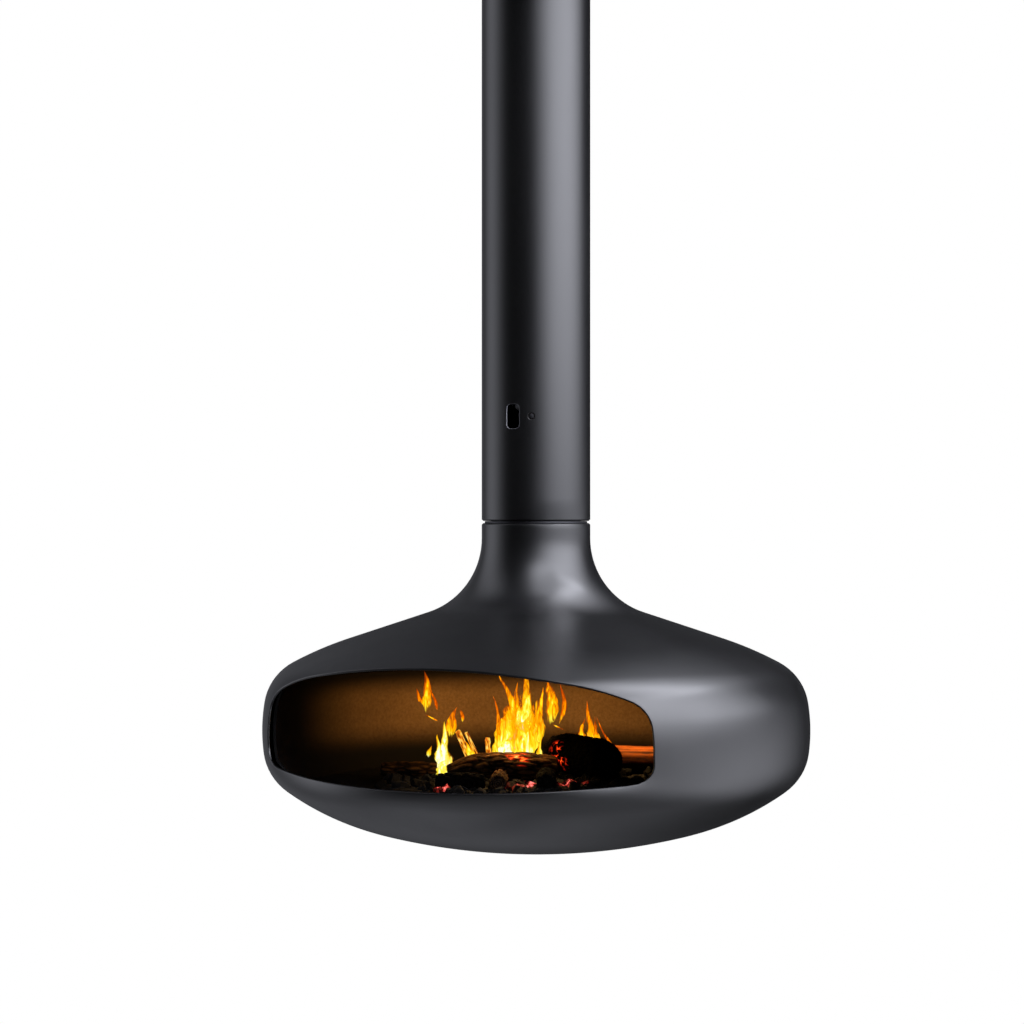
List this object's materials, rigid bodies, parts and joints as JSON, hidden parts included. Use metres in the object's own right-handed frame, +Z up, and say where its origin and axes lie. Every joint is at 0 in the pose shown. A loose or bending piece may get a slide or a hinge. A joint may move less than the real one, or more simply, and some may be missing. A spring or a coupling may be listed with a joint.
{
  "type": "hanging fireplace",
  "caption": "Suspended wood hearth: a flat onion-shaped steel body with one wide rounded mouth turns on a bearing at the foot of a round flue tube with a poker-worked damper.",
  "frame": {"origin": "centre of the ceiling plate's bolt circle, on the plate's top face, which lies against the ceiling", "axes": "+Z up along the flue and pivot axis, -Y towards the mouth and the damper slot at rest, +X to the right as seen from the mouth's side"},
  "size_m": [0.845, 0.8362, 1.476],
  "materials": {
    "graphite_paint": "satin heat-resistant graphite paint, faintly mottled",
    "raw_steel": "plain mill steel, turned or sawn",
    "screw_steel": "bright zinc",
    "bearing_steel": "ground bearing steel",
    "seal_steel": "blackened steel ring",
    "bronze": "turned bronze",
    "liner_steel": "heat-browned steel sheet",
    "insulation_board": "pressed vermiculite",
    "firebrick": "sooty fireclay",
    "embers": "glowing embers under grey ash",
    "burnt_bark": "scorched bark",
    "charred_wood": "black charcoal, glowing in its cracks",
    "split_wood": "split dry wood, scorched at the ends",
    "kindling_wood": "thin burning sticks"
  },
  "bodies": {
    "flue": {"ceiling_plate": "raw_steel", "outlet_stub": "raw_steel", "flue_spigot": "raw_steel", "ceiling_rosette": "graphite_paint", "rosette_band": "graphite_paint", "rosette_collar": "graphite_paint", "rosette_screws": "screw_steel", "flue_tube": "graphite_paint", "flue_screws": "screw_steel", "pivot_housing": "graphite_paint", "bearing_shelf": "raw_steel", "guide_bush": "bronze", "lower_race": "bearing_steel", "damper_bushes": "bronze"},
    "bearing": {"ball_cage": "bronze", "bearing_balls": "bearing_steel"},
    "hearth": {"upper_race": "bearing_steel", "pivot_sleeve": "raw_steel", "sleeve_screws": "screw_steel", "neck_hub": "raw_steel", "seal_ring": "seal_steel", "hearth_shell": "graphite_paint", "firebox_liner": "liner_steel", "liner_spacers": "raw_steel", "bowl_insulation": "insulation_board", "floor_slabs": "firebrick", "centre_slab": "firebrick", "ember_bed": "embers", "log_left": "burnt_bark", "log_cross": "burnt_bark", "log_charred": "charred_wood", "log_right": "split_wood", "log_back": "burnt_bark", "log_front_left": "charred_wood", "log_front_split": "split_wood", "log_front_right": "charred_wood", "kindling": "kindling_wood"},
    "damper": {"damper_disc": "raw_steel", "damper_shaft": "screw_steel", "damper_saddles": "raw_steel", "damper_rivets": "screw_steel", "damper_lever": "raw_steel", "lever_screw": "screw_steel", "shaft_collar": "screw_steel", "friction_washer": "bronze"}
  },
  "joints": [
    {"name": "hearth_turn", "type": "hinge", "parent": "flue", "child": "hearth", "pos_m": [0, 0, -0.91], "axis": [0, 0, 1], "continuous": true},
    {"name": "bearing_turn", "type": "hinge", "parent": "flue", "child": "bearing", "pos_m": [0, 0, -0.91], "axis": [0, 0, 1], "continuous": true},
    {"name": "damper_turn", "type": "hinge", "parent": "flue", "child": "damper", "pos_m": [0, 0, -0.749], "axis": [0.342, -0.9397, 0], "range_deg": [0, 70]}
  ],
  "couplings": [
    {"joint": "bearing_turn", "follows": "hearth_turn", "ratio": 0.5}
  ]
}
